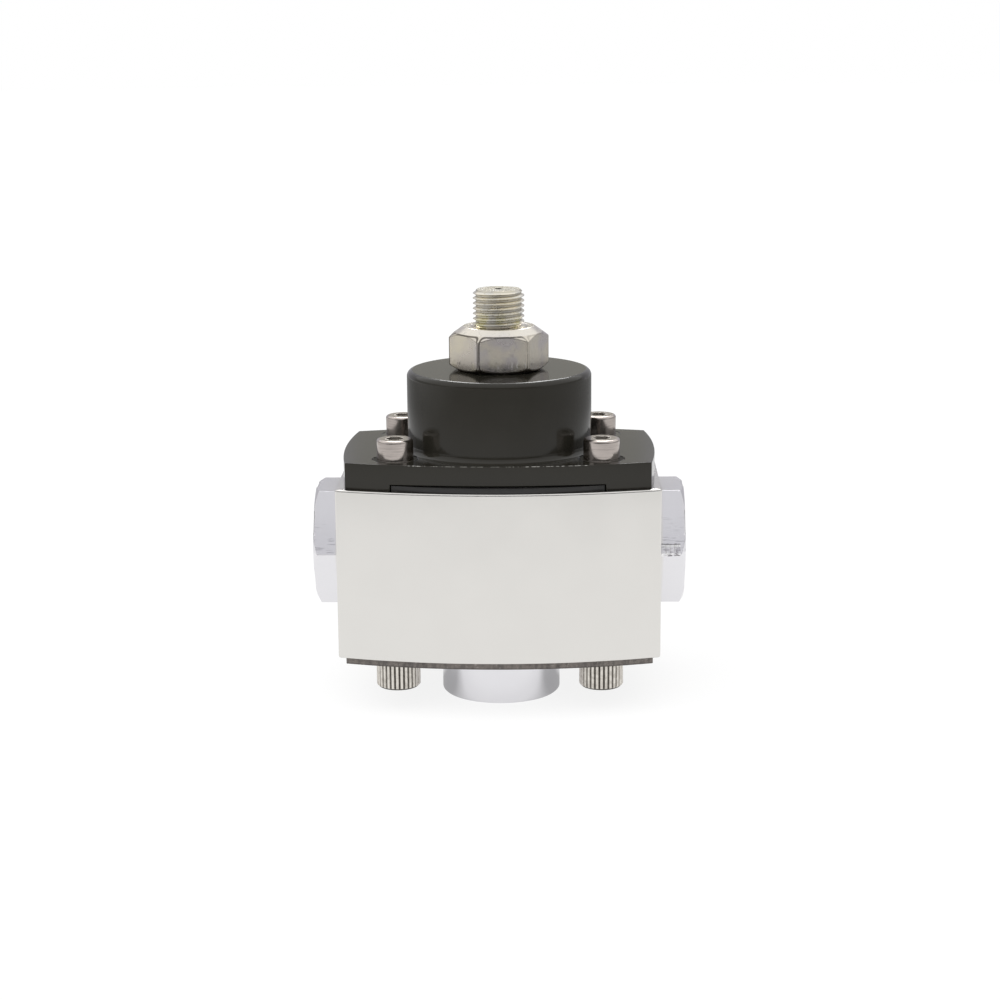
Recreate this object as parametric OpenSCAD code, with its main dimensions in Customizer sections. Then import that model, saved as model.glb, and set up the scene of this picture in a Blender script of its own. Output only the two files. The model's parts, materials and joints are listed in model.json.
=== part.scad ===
// Adjustable return-style fuel pressure regulator.
// The origin is the centre of the return boss's end face, on which the part stands.
// +Z runs up the adjusting screw, the fuel ports lie along X and the bare front faces -Y.

/* [Body] */
// Width across the straight sides
body_w = 62; // [60:0.5:70]
// Depth across the middle of the bowed faces
body_d = 43.3; // [42:0.1:50]
// Height from the underside to the cover joint
body_h = 33.2; // [32:0.1:40]
// Radius of the bow that body, cover flange and base plate share
bow_r = 108; // [90:1:160]
// Radius of the fuel chamber
chamber_r = 17; // [16.5:0.1:17.5]
// Thickness of the chamber floor
floor_t = 5; // [4:0.1:7]

/* [Side ports] */
// Length from one port end to the other
port_span = 72; // [70:0.5:90]
// Hexagon across its flats
port_af = 22.4; // [21:0.1:24]
// Height of the port axis above the body's underside
port_rise = 19.4; // [18:0.1:20]
// Radius of the threaded bore
port_bore_r = 7.35; // [6.5:0.05:8]
// Depth of the threaded bore
port_bore_l = 13; // [10:0.5:14]
// Radius of the drilled way from the bore to the chamber
port_way_r = 4.5; // [3:0.1:5.5]
// How far the round of each chamfered end reaches past the flats
port_face_past = 0.2; // [0.1:0.05:0.6]
// Countersink at the mouth of each threaded port
port_countersink = 0.8; // [0.3:0.1:1.2]

/* [Cover] */
// Flange width across the middle of its bowed sides
flange_w = 60.6; // [58:0.1:62]
// Set-back of the flange's front from the body's
flange_inset = 1.5; // [1.3:0.1:2]
// Flange thickness
flange_t = 5; // [4:0.1:7]
// Radius of the spring tower
tower_r = 18; // [17.6:0.1:18.2]
// Height of the tower above the flange
tower_h = 15.4; // [15:0.1:20]
// Rounding of the tower's top edge
tower_round = 1.2; // [0.5:0.1:2]
// Fillet between tower and flange
tower_fillet = 1.4; // [0.5:0.1:1.6]
// Radius of the spring space
spring_space_r = 14.8; // [13.5:0.1:15.5]
// Thickness of the tower's threaded top
ceiling_t = 5; // [4:0.1:5.2]

/* [Diaphragm] */
// Rubber thickness
rubber_t = 1; // [0.8:0.05:1.2]
// Width of the tabs that show under the flange
tab_w = 40.4; // [36:0.1:42]
// How far the middle of a tab stands out of the flange
tab_out = 1.2; // [0.4:0.1:1.25]
// Gap above a tab where it leaves the flange
tab_gap = 0.15; // [0.05:0.05:0.4]
// Rubber left around each cover screw
lobe_r = 4; // [3.2:0.1:4.5]
// Inner radius of the rolled convolution
roll_r = 0.6; // [0.3:0.05:0.8]

/* [Diaphragm stack] */
// Rim radius of the two pressed cups
cup_rim_r = 13; // [12.5:0.1:13.2]
// Outer radius of the upper cup's wall
cup_wall_r = 11; // [10.8:0.05:11.2]
// Sheet thickness of the cups
cup_t = 1.2; // [0.8:0.05:1.4]
// Depth of the upper cup below its rim
cup_drop = 3.6; // [3:0.1:4]
// Radius of the stem's shaft
stem_r = 3.2; // [2.8:0.1:4]
// Radius of the stem's shoulder under the lower cup
shoulder_r = 5.2; // [4.5:0.1:6]
// Thickness of the stem's shoulder
shoulder_t = 1.6; // [1:0.1:2.5]
// Radius of the stem's threaded top
stem_thread_r = 2.5; // [2:0.1:2.7]
// Stem nut across its flats
stem_nut_af = 8; // [7.5:0.1:9]
// Stem nut thickness
stem_nut_h = 2.7; // [2:0.1:3.5]
// Radius of the flat left on each face of the stem nut
stem_nut_face_r = 3.7; // [3.5:0.1:3.7]
// Radius of the stem's lower spigot
spigot_r = 2; // [1.5:0.1:2.4]
// Length of the stem's lower spigot
spigot_l = 2.5; // [1.5:0.1:3]

/* [Valve] */
// Height of the seat's rim above the body's underside
seat_rise = 16.5; // [16:0.1:18]
// Radius of the tube that is pressed into the chamber floor
seat_tube_r = 6.5; // [6.1:0.1:6.8]
// Radius of the hole through the seat
seat_way_r = 2.6; // [1.5:0.1:2.7]
// Length of the hole through the seat
seat_way_l = 4; // [3:0.1:6]
// Width of the seat's flat rim
seat_rim = 0.6; // [0.3:0.1:0.9]
// Height of the seat's nozzle above its tube
seat_nozzle_h = 1.5; // [0.8:0.1:2]
// Chamfer at the tube's upper edge
seat_chamfer = 0.5; // [0.2:0.1:0.8]
// Radius of the poppet
poppet_r = 5.6; // [5.2:0.1:7]
// Height of the poppet
poppet_h = 5; // [4.6:0.1:6]
// Radius of the poppet's rubber disc
disc_r = 4.4; // [4:0.05:4.6]
// Thickness of the poppet's rubber disc
disc_t = 1.6; // [1.2:0.1:1.9]
// How far the rubber disc stands out of the poppet
disc_out = 0.4; // [0.2:0.05:0.6]

/* [Return port] */
// Radius of the round boss
boss_r = 11.7; // [10.5:0.05:12]
// Height of the boss below the base plate
boss_h = 9.65; // [8:0.05:12]
// Chamfer at the boss's lower edge
boss_chamfer = 0.4; // [0.2:0.1:0.8]
// Radius of the flange that the base plate holds
return_flange_r = 14.5; // [13.5:0.1:15]
// Thickness of that flange
return_flange_t = 3; // [2.6:0.1:4]
// Radius of the threaded return bore
return_bore_r = 7.35; // [6.5:0.05:8]
// Depth of the threaded return bore
return_bore_l = 10; // [8:0.1:11]
// Radius of the way up to the seat
return_way_r = 3.2; // [2.8:0.1:3.6]
// Section radius of the seal ring
seal_r = 0.65; // [0.5:0.05:0.8]
// Radius of the seal ring's centre line
seal_ring_r = 10.2; // [9:0.1:11]

/* [Base plate] */
// Set-back of the plate's edge from the body's
plate_inset = 1.4; // [1:0.1:2]
// Plate thickness
plate_t = 1.45; // [1:0.05:2.5]

/* [Cover screws] */
// Spacing along X
cover_screw_x = 39.4; // [39:0.1:41]
// Spacing along Y
cover_screw_y = 25; // [24.5:0.1:26]
// Shank radius
cover_screw_r = 2; // [1.5:0.1:2.3]
// Length under the head
cover_screw_l = 14; // [10:0.5:16]
// Head radius
cover_head_r = 3.5; // [3:0.1:3.6]
// Head height
cover_head_h = 4; // [3:0.1:5]
// Hexagon socket across its flats
cover_socket_af = 3; // [2:0.1:3.5]
// Rounding of the head's top edge
cover_head_round = 0.5; // [0.2:0.1:0.8]

/* [Base screws] */
// Spacing along X
base_screw_x = 39.4; // [38:0.1:41]
// Set-in from the middle of the plate's bowed edges
base_screw_set_in = 6.65; // [6.4:0.05:7.2]
// Shank radius
base_screw_r = 2.5; // [2:0.1:2.6]
// Length under the head
base_screw_l = 12; // [8:0.5:14]
// Head radius over the ridges
base_head_r = 4.25; // [3.8:0.05:4.4]
// Head height
base_head_h = 5; // [4:0.1:6]
// Hexagon socket across its flats
base_socket_af = 4; // [3:0.1:4.5]
// Number of ridges round a head
base_ridges = 30; // [24:1:36]
// Radius of the groove between two ridges
ridge_groove_r = 0.2; // [0.15:0.01:0.3]
// Chamfer at the lower edge of a head
base_head_chamfer = 0.45; // [0.2:0.05:0.8]

/* [Adjuster] */
// Thread radius of the adjusting screw
screw_r = 5; // [4.5:0.1:5.5]
// Height of the screw above the jam nut
screw_proud = 7.8; // [4:0.1:10]
// Chamfer at the screw's ends
screw_chamfer = 0.8; // [0.3:0.1:1.2]
// Radius of the vent drilled through the screw
vent_r = 0.7; // [0.4:0.05:1]
// Jam nut across its flats
nut_af = 17; // [16:0.1:19]
// Jam nut height
nut_h = 7.8; // [6:0.1:9]
// How far the round of the nut's faces runs past its flats
nut_face_past = 0.2; // [0.1:0.05:0.6]
// Slope of the nut's chamfers
nut_slope = 45; // [30:1:50]
// Countersink at both ends of the nut's thread
nut_countersink = 0.6; // [0.3:0.1:1]
// Turn of the nut's front flat towards +X
nut_turn = 7; // [0:1:59]

/* [Spring] */
// Wire diameter
wire_d = 1.8; // [1.4:0.05:1.9]
// Mean coil radius
coil_r = 8.6; // [8.4:0.05:8.7]
// Active turns
active_turns = 3; // [2:0.5:3]
// Radius of the button's flange
button_r = 10.2; // [9.8:0.1:11]
// Thickness of the button's flange
button_t = 1.2; // [0.8:0.1:1.6]
// Radius of the button's hub inside the spring
hub_r = 6.5; // [5:0.1:7]
// Length of the button's hub
hub_l = 4; // [3:0.1:4.5]
// Radius of the thrust ball
ball_r = 2; // [1.5:0.1:2.2]
// How far the ball stands above the button
ball_proud = 0.1; // [0.05:0.05:0.3]
// Room above the button for backing the screw out
button_room = 1.3; // [1.2:0.1:1.6]

/* [Clearances] */
// Radial gap of screws, pins and spigots in their holes
fit_gap = 0.05; // [0.02:0.01:0.08]
// Gap round soft parts and in clearance holes
loose_gap = 0.2; // [0.1:0.05:0.3]

/* [Hidden] */

$fn = 96;
// Facets of the long bows
bow_fn = 360;
// Length by which a cut runs past the face that it opens
past = 1;
// Slope of the other hexagons' chamfers and of the drill points
cone_slope = 30;

// Levels, from the standing face upwards
plate_z0 = boss_h;
body_z0 = plate_z0 + plate_t;
body_z1 = body_z0 + body_h;
flange_z1 = body_z1 + flange_t;
tower_z1 = flange_z1 + tower_h;
nut_z1 = tower_z1 + nut_h;
screw_z1 = nut_z1 + screw_proud;
port_z = body_z0 + port_rise;
return_flange_z1 = body_z0 + return_flange_t;
floor_z1 = return_flange_z1 + floor_t;

// Valve and diaphragm stack, from the seat's rim upwards
seat_z1 = body_z0 + seat_rise;
poppet_z0 = seat_z1 + disc_out;
poppet_z1 = poppet_z0 + poppet_h;
rubber_z1 = body_z1 + rubber_t;
cup_floor_z0 = rubber_z1 - cup_drop;
cup_floor_z1 = cup_floor_z0 + cup_t;
lower_cup_z0 = cup_floor_z0 - cup_t;
stem_nut_z1 = cup_floor_z1 + stem_nut_h;
// Thread of the stem that shows above its nut
stem_end = 0.8;

// Spring side, from the tower's inner top downwards
ceiling_z = tower_z1 - ceiling_t;
button_z1 = ceiling_z - button_room;
button_z0 = button_z1 - button_t;
ball_z = button_z1 + ball_proud - ball_r;
screw_z0 = button_z1 + ball_proud + fit_gap;
// Height of the wide mouth of the spring space above the rubber
mouth_h = 2.5;

// Depths of the outlines across their middles
flange_d = body_d - 2 * flange_inset;
plate_w = body_w - 2 * plate_inset;
plate_d = body_d - 2 * plate_inset;
base_screw_y = plate_d - 2 * base_screw_set_in;

// Rounds of the port ends and of the nut's faces, just past their flats
port_face_r = port_af / 2 + port_face_past;
nut_face_r = nut_af / 2 + nut_face_past;

// Tabs that leave the flange flush at their ends and bow out in the middle
tab_d = flange_d + 2 * tab_out;
tab_half_w = tab_w / 2;
tab_sag = bow_r - sqrt(bow_r * bow_r - tab_half_w * tab_half_w) + tab_out;
tab_bow_r = (tab_half_w * tab_half_w + tab_sag * tab_sag) / (2 * tab_sag);

// Convolution of the diaphragm, midway between cup rim and chamber wall
roll_mid_r = (cup_rim_r + chamber_r) / 2;
roll_out_r = roll_r + rubber_t;
rubber_hole_r = cup_wall_r + fit_gap;

// Spring turns: one closed turn at each end, at a pitch just over the wire
closed_share = 1.06;
end_pitch = closed_share * wire_d;
coil_turns = active_turns + 2;
coil_z0 = cup_floor_z1 + wire_d / 2;
coil_z1 = button_z0 - wire_d / 2;
active_pitch = (coil_z1 - coil_z0 - 2 * end_pitch) / active_turns;
coil_steps = 22;
wire_sides = 8;

// Socket depths, as a share of the head height
socket_share = 0.55;
// Depth of a tapped hole past its screw's end
tap_past = 1;
// Chamfer at the tip of a screw
tip_chamfer = 0.5;

// Rectangle whose front and rear bow outwards
module bowed_rectangle(w, d, r = bow_r) {
  intersection() {
    square([w, d], center = true);
    translate([0, r - d / 2]) circle(r = r, $fn = bow_fn);
    translate([0, d / 2 - r]) circle(r = r, $fn = bow_fn);
  }
}

// Outline with all four sides bowed outwards and sharp corners
module pillow(w, d) {
  intersection() {
    bowed_rectangle(w, d);
    rotate(90) bowed_rectangle(d, w);
  }
}

// Copies at the corners of a rectangle of the given spacings
module at_corners(x, y) {
  for (sx = [-1, 1], sy = [-1, 1]) translate([sx * x / 2, sy * y / 2]) children();
}

// Hexagonal bar whose ends are chamfered down to a round face
module chamfered_hex(af, h, face_r, slope = cone_slope) {
  corner_r = af / 2 / cos(30);
  cone_r = corner_r + past;
  drop = (cone_r - face_r) * tan(slope);
  intersection() {
    cylinder(r = corner_r, h = h, $fn = 6);
    rotate_extrude()
      polygon([[0, 0], [face_r, 0], [cone_r, drop], [cone_r, h - drop], [face_r, h], [0, h]]);
  }
}

// Round bore from z0 to z1
module bore(r, z0, z1) {
  translate([0, 0, z0]) cylinder(r = r, h = z1 - z0);
}

// Hexagon socket cut down from z = 0
module hex_socket(af, depth) {
  translate([0, 0, -depth]) cylinder(r = af / 2 / cos(30), h = depth + past, $fn = 6);
}

// Shank that hangs from z = 0, with a chamfered tip
module shank(r, l) {
  rotate_extrude()
    polygon([[0, 0], [r, 0], [r, tip_chamfer - l], [r - tip_chamfer, -l], [0, -l]]);
}

// Threaded bore, drill point and way of the port on the +X side
module port_cut() {
  bore_x0 = port_span / 2 - port_bore_l;
  point_l = (port_bore_r - port_way_r) * tan(cone_slope);
  translate([0, 0, port_z]) rotate([0, 90, 0]) rotate_extrude()
    polygon([[0, 0], [port_way_r, 0], [port_way_r, bore_x0 - point_l], [port_bore_r, bore_x0],
             [port_bore_r, port_span / 2 - port_countersink],
             [port_bore_r + port_countersink + past, port_span / 2 + past], [0, port_span / 2 + past]]);
}

// Die-cast housing with a bowed front, two hexagonal ports and the fuel chamber
module body() {
  color("gainsboro") difference() {
    union() {
      translate([0, 0, body_z0]) linear_extrude(body_h) bowed_rectangle(body_w, body_d);
      translate([-port_span / 2, 0, port_z]) rotate([0, 90, 0]) rotate(30)
        chamfered_hex(port_af, port_span, port_face_r);
    }
    bore(chamber_r, floor_z1, body_z1 + past);
    bore(seat_tube_r + fit_gap, body_z0 - past, body_z1);
    bore(return_flange_r + fit_gap, body_z0 - past, return_flange_z1);
    port_cut();
    mirror([1, 0, 0]) port_cut();
    at_corners(cover_screw_x, cover_screw_y)
      bore(cover_screw_r + fit_gap, flange_z1 - cover_screw_l - tap_past, body_z1 + past);
    at_corners(base_screw_x, base_screw_y)
      bore(base_screw_r + fit_gap, body_z0 - past, plate_z0 + base_screw_l + tap_past);
  }
}

// Sheet-steel plate that holds the return port up into the body
module base_plate() {
  color("dimgray") translate([0, 0, plate_z0]) linear_extrude(plate_t) difference() {
    bowed_rectangle(plate_w, plate_d);
    circle(r = boss_r + fit_gap);
    at_corners(base_screw_x, base_screw_y) circle(r = base_screw_r + loose_gap);
  }
}

// Knurled socket-head screws that clamp the base plate from below
module base_screws() {
  groove_step = 360 / base_ridges;
  color("darkkhaki") at_corners(base_screw_x, base_screw_y) translate([0, 0, plate_z0]) {
    mirror([0, 0, 1]) difference() {
      intersection() {
        linear_extrude(base_head_h) difference() {
          circle(r = base_head_r);
          for (i = [0 : base_ridges - 1]) rotate(i * groove_step) translate([base_head_r, 0])
            circle(r = ridge_groove_r, $fn = 24);
        }
        rotate_extrude()
          polygon([[0, 0], [base_head_r + past, 0],
                   [base_head_r + past, base_head_h - base_head_chamfer - past],
                   [base_head_r - base_head_chamfer, base_head_h], [0, base_head_h]]);
      }
      translate([0, 0, base_head_h]) hex_socket(base_socket_af, socket_share * base_head_h);
    }
    mirror([0, 0, 1]) shank(base_screw_r, base_screw_l);
  }
}

// Turned return fitting: threaded boss and the flange that the plate clamps
module return_port() {
  groove_w = seal_r + loose_gap;
  groove_z0 = return_flange_z1 - 2 * seal_r;
  point_l = (return_bore_r - return_way_r) * tan(cone_slope);
  color("lightsteelblue") rotate_extrude() difference() {
    union() {
      polygon([[0, 0], [boss_r - boss_chamfer, 0], [boss_r, boss_chamfer], [boss_r, return_flange_z1],
               [0, return_flange_z1]]);
      translate([0, body_z0]) square([return_flange_r, return_flange_t]);
    }
    polygon([[0, -past], [return_bore_r + port_countersink + past, -past],
             [return_bore_r, port_countersink], [return_bore_r, return_bore_l],
             [return_way_r, return_bore_l + point_l], [return_way_r, return_flange_z1 + past],
             [0, return_flange_z1 + past]]);
    translate([seal_ring_r - groove_w, groove_z0]) square([2 * groove_w, 2 * seal_r + past]);
  }
}

// Rubber ring in the return port's flange
module return_seal() {
  color("black") translate([0, 0, return_flange_z1 - seal_r])
    rotate_extrude() translate([seal_ring_r, 0]) circle(r = seal_r, $fn = 48);
}

// Brass tube pressed into the chamber floor, with the seat's nozzle at its upper end
module valve_seat() {
  rim_r = seat_way_r + seat_rim;
  tube_z1 = seat_z1 - seat_nozzle_h;
  way_z0 = seat_z1 - seat_way_l;
  point_l = (return_way_r - seat_way_r) * tan(cone_slope);
  color("goldenrod") rotate_extrude()
    polygon([[return_way_r, return_flange_z1], [seat_tube_r, return_flange_z1],
             [seat_tube_r, tube_z1 - seat_chamfer], [seat_tube_r - seat_chamfer, tube_z1],
             [rim_r + seat_rim, tube_z1], [rim_r, seat_z1], [seat_way_r, seat_z1],
             [seat_way_r, way_z0], [return_way_r, way_z0 - point_l]]);
}

// Rubber disc that closes the seat
module valve_disc() {
  color("black") translate([0, 0, seat_z1]) cylinder(r = disc_r, h = disc_t);
}

// Brass poppet that carries the rubber disc
module valve_poppet() {
  color("goldenrod") difference() {
    bore(poppet_r, poppet_z0, poppet_z1);
    bore(disc_r + fit_gap, poppet_z0 - past, seat_z1 + disc_t);
    bore(spigot_r + fit_gap, poppet_z1 - spigot_l, poppet_z1 + past);
  }
}

// Turned stem that joins the poppet to the diaphragm cups
module diaphragm_stem() {
  thread_z1 = stem_nut_z1 + stem_end;
  color("silver") rotate_extrude()
    polygon([[0, poppet_z1 - spigot_l], [spigot_r, poppet_z1 - spigot_l], [spigot_r, poppet_z1],
             [stem_r, poppet_z1], [stem_r, lower_cup_z0 - shoulder_t],
             [shoulder_r, lower_cup_z0 - shoulder_t], [shoulder_r, lower_cup_z0],
             [stem_thread_r, lower_cup_z0], [stem_thread_r, thread_z1 - tip_chamfer],
             [stem_thread_r - tip_chamfer, thread_z1], [0, thread_z1]]);
}

// Pressed cup on the fuel side of the diaphragm
module lower_diaphragm_cup() {
  wall_r = cup_wall_r + fit_gap + cup_t;
  color("silver") rotate_extrude()
    polygon([[stem_thread_r + fit_gap, lower_cup_z0], [wall_r, lower_cup_z0], [wall_r, body_z1 - cup_t],
             [cup_rim_r, body_z1 - cup_t], [cup_rim_r, body_z1], [wall_r - cup_t, body_z1],
             [wall_r - cup_t, cup_floor_z0], [stem_thread_r + fit_gap, cup_floor_z0]]);
}

// Pressed cup on the spring side, in which the spring stands
module upper_diaphragm_cup() {
  rim_z1 = rubber_z1 + cup_t;
  color("silver") rotate_extrude()
    polygon([[stem_thread_r + fit_gap, cup_floor_z0], [cup_wall_r, cup_floor_z0], [cup_wall_r, rubber_z1],
             [cup_rim_r, rubber_z1], [cup_rim_r, rim_z1], [cup_wall_r - cup_t, rim_z1],
             [cup_wall_r - cup_t, cup_floor_z1], [stem_thread_r + fit_gap, cup_floor_z1]]);
}

// Plan of the band that ends in the front and rear tabs, grown by a gap
module tab_plan(gap) {
  bowed_rectangle(tab_w + 2 * gap, tab_d + 2 * gap, tab_bow_r + gap);
}

// Plan of the rubber sheet, grown by a gap: lobes round the screws and the two tabs
module rubber_plan(gap) {
  at_corners(cover_screw_x, cover_screw_y) circle(r = lobe_r + gap);
  square([cover_screw_x + 2 * (lobe_r + gap), cover_screw_y], center = true);
  square([cover_screw_x, cover_screw_y + 2 * (lobe_r + gap)], center = true);
  tab_plan(gap);
}

// Rubber sheet with a rolled convolution between the cups and the clamped edge
module diaphragm() {
  color("black") translate([0, 0, body_z1]) {
    linear_extrude(rubber_t) difference() {
      rubber_plan(0);
      circle(r = roll_mid_r + roll_r);
      at_corners(cover_screw_x, cover_screw_y) circle(r = cover_screw_r + fit_gap);
    }
    rotate_extrude() {
      translate([rubber_hole_r, 0]) square([roll_mid_r - roll_r - rubber_hole_r, rubber_t]);
      intersection() {
        translate([roll_mid_r, 0]) difference() {
          circle(r = roll_out_r, $fn = 48);
          circle(r = roll_r, $fn = 48);
        }
        translate([rubber_hole_r, 0]) square([chamber_r, roll_out_r]);
      }
    }
  }
}

// Hexagon nut that clamps the cups and the rubber on the stem
module stem_nut() {
  color("silver") translate([0, 0, cup_floor_z1]) difference() {
    chamfered_hex(stem_nut_af, stem_nut_h, stem_nut_face_r);
    bore(stem_thread_r + fit_gap, -past, stem_nut_h + past);
  }
}

// Half section of the tower's outside, with its rounded top edge and base fillet
module tower_section() {
  full_h = flange_t + tower_h;
  translate([0, body_z1]) {
    square([tower_r, full_h - tower_round]);
    square([tower_r - tower_round, full_h]);
    translate([tower_r - tower_round, full_h - tower_round]) circle(r = tower_round, $fn = 64);
    difference() {
      square([tower_r + tower_fillet, flange_t + tower_fillet]);
      translate([tower_r + tower_fillet, flange_t + tower_fillet]) circle(r = tower_fillet, $fn = 64);
    }
  }
}

// Half section of the spring space, its wide mouth and the thread above it
module spring_space_section() {
  mouth_z1 = rubber_z1 + mouth_h;
  square([chamber_r, mouth_z1]);
  square([spring_space_r, ceiling_z]);
  square([screw_r + fit_gap, tower_z1 + past]);
}

// Black spring cover: pillow-shaped flange and round tower
module cover() {
  color("darkslategray") difference() {
    union() {
      translate([0, 0, body_z1]) linear_extrude(flange_t) pillow(flange_w, flange_d);
      rotate_extrude() tower_section();
    }
    translate([0, 0, body_z1 - past]) linear_extrude(past + rubber_t) rubber_plan(loose_gap);
    translate([0, 0, body_z1]) linear_extrude(rubber_t + tab_gap) difference() {
      tab_plan(loose_gap);
      square([body_w, cover_screw_y + 2 * lobe_r], center = true);
    }
    rotate_extrude() spring_space_section();
    at_corners(cover_screw_x, cover_screw_y)
      bore(cover_screw_r + loose_gap, body_z1 - past, flange_z1 + past);
  }
}

// Socket-head screws that clamp the cover and the rubber
module cover_screws() {
  color("lightgray") at_corners(cover_screw_x, cover_screw_y) translate([0, 0, flange_z1]) {
    difference() {
      rotate_extrude() {
        square([cover_head_r, cover_head_h - cover_head_round]);
        square([cover_head_r - cover_head_round, cover_head_h]);
        intersection() {
          translate([cover_head_r - cover_head_round, cover_head_h - cover_head_round])
            circle(r = cover_head_round, $fn = 48);
          square([cover_head_r, cover_head_h]);
        }
      }
      translate([0, 0, cover_head_h]) hex_socket(cover_socket_af, socket_share * cover_head_h);
    }
    shank(cover_screw_r, cover_screw_l);
  }
}

// Height of the wire's centre line after the given number of turns
function coil_z(turn) =
  turn <= 1 ? coil_z0 + turn * end_pitch
  : turn <= 1 + active_turns ? coil_z0 + end_pitch + (turn - 1) * active_pitch
  : coil_z1 - (coil_turns - turn) * end_pitch;

// Point on the wire's skin: turn along the coil, angle round the wire
function wire_point(turn, angle) =
  let (r = coil_r + wire_d / 2 * cos(angle))
  [r * cos(360 * turn), r * sin(360 * turn), coil_z(turn) + wire_d / 2 * sin(angle)];

// Coil spring between the upper cup and the button
module main_spring() {
  rings = coil_turns * coil_steps;
  points = [for (i = [0 : rings], j = [0 : wire_sides - 1])
            wire_point(i / coil_steps, 360 * j / wire_sides)];
  skin = [for (i = [0 : rings - 1], j = [0 : wire_sides - 1])
          let (k = (j + 1) % wire_sides, a = i * wire_sides, b = a + wire_sides)
          [a + j, b + j, b + k, a + k]];
  first_end = [for (j = [0 : wire_sides - 1]) j];
  last_end = [for (j = [wire_sides - 1 : -1 : 0]) rings * wire_sides + j];
  color("gray") polyhedron(points, concat(skin, [first_end, last_end]), convexity = 10);
}

// Button on the spring, with a pocket for the thrust ball
module spring_button() {
  color("silver") difference() {
    union() {
      bore(button_r, button_z0, button_z1);
      bore(hub_r, button_z0 - hub_l, button_z1);
    }
    bore(ball_r + fit_gap, ball_z - ball_r, button_z1 + past);
  }
}

// Steel ball between the screw and the button
module thrust_ball() {
  color("silver") translate([0, 0, ball_z]) sphere(r = ball_r);
}

// Vented adjusting screw, its fine thread left as the thread's outside
module adjusting_screw() {
  color("khaki") rotate_extrude()
    polygon([[vent_r, screw_z0], [screw_r - screw_chamfer, screw_z0], [screw_r, screw_z0 + screw_chamfer],
             [screw_r, screw_z1 - screw_chamfer], [screw_r - screw_chamfer, screw_z1], [vent_r, screw_z1]]);
}

// Hexagon nut that locks the adjusting screw
module jam_nut() {
  thread_r = screw_r + fit_gap;
  mouth_r = thread_r + nut_countersink;
  color("tan") translate([0, 0, tower_z1]) difference() {
    rotate(nut_turn) chamfered_hex(nut_af, nut_h, nut_face_r, nut_slope);
    rotate_extrude()
      polygon([[0, -past], [mouth_r + past, -past], [thread_r, nut_countersink],
               [thread_r, nut_h - nut_countersink], [mouth_r + past, nut_h + past], [0, nut_h + past]]);
  }
}

body();
base_plate();
base_screws();
return_port();
return_seal();
valve_seat();
valve_disc();
valve_poppet();
diaphragm_stem();
lower_diaphragm_cup();
diaphragm();
upper_diaphragm_cup();
stem_nut();
cover();
cover_screws();
main_spring();
spring_button();
thrust_ball();
adjusting_screw();
jam_nut();
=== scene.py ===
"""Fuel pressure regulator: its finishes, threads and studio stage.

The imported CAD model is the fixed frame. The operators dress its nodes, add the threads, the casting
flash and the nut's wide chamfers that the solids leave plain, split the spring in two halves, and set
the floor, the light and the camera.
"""

import json
import math
import random

import bmesh
import bpy
from bpy.props import FloatProperty, FloatVectorProperty, IntProperty, PointerProperty
from bpy.types import Operator, Panel, PropertyGroup
from mathutils import Matrix, Vector


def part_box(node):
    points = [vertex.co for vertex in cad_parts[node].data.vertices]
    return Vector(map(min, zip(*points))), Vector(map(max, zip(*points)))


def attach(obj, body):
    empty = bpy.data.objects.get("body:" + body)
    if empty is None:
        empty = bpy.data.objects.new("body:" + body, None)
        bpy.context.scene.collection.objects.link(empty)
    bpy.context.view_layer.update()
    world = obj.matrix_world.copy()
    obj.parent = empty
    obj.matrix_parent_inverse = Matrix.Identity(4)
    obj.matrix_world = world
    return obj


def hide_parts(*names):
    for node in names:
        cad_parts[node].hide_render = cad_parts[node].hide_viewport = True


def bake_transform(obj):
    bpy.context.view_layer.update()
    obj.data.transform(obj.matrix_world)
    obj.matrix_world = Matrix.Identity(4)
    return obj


bl_info = {
    "name": "Fuel Pressure Regulator",
    "version": (1, 0, 0),
    "blender": (4, 5, 0),
    "location": "3D View > Sidebar > Regulator",
    "description": "Dresses the regulator's pieces and sets its studio stage",
    "category": "Object",
}

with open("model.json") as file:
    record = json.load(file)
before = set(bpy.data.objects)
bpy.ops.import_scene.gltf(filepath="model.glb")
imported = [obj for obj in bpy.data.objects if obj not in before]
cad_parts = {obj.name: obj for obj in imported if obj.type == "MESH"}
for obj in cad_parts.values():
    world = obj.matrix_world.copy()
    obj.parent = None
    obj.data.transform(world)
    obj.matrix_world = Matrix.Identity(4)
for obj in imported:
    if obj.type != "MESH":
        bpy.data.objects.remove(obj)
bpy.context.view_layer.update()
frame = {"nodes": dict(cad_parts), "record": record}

MM = 0.001
SIXTH = math.radians(60)
TAN_30 = math.tan(SIXTH / 2)
EDGE_DEGREES = 28
WELD = 0.001 * MM
MOUNTS = {mount["name"]: mount for mount in frame["record"]["mounts"]}
PORT_HEIGHT = MOUNTS["outlet_port"]["pos_m"][2]
BODY_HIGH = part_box("body")[1]
COVER_LOW, COVER_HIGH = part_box("cover")
NUT_LOW, NUT_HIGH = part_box("jam_nut")
SCREW_LOW, SCREW_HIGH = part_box("adjusting_screw")
BASE_SCREWS_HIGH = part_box("base_screws")[1]
COVER_SCREWS_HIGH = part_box("cover_screws")[1]
PLATE_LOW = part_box("base_plate")[0]


def tone(red, green, blue):
    """Linear colour of an 8-bit screen colour."""
    shares = (value / 255 for value in (red, green, blue))
    return tuple(s / 12.92 if s <= 0.04045 else ((s + 0.055) / 1.055) ** 2.4 for s in shares)


def colour(name, description, default):
    """Property that holds a surface colour."""
    return FloatVectorProperty(
        name=name, description=description, default=default, subtype="COLOR", min=0, max=1)


def length(name, description, millimetres):
    """Property that holds a length, given in millimetres."""
    return FloatProperty(name=name, description=description, default=millimetres * MM, min=0,
                         subtype="DISTANCE", unit="LENGTH", precision=5)


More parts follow.
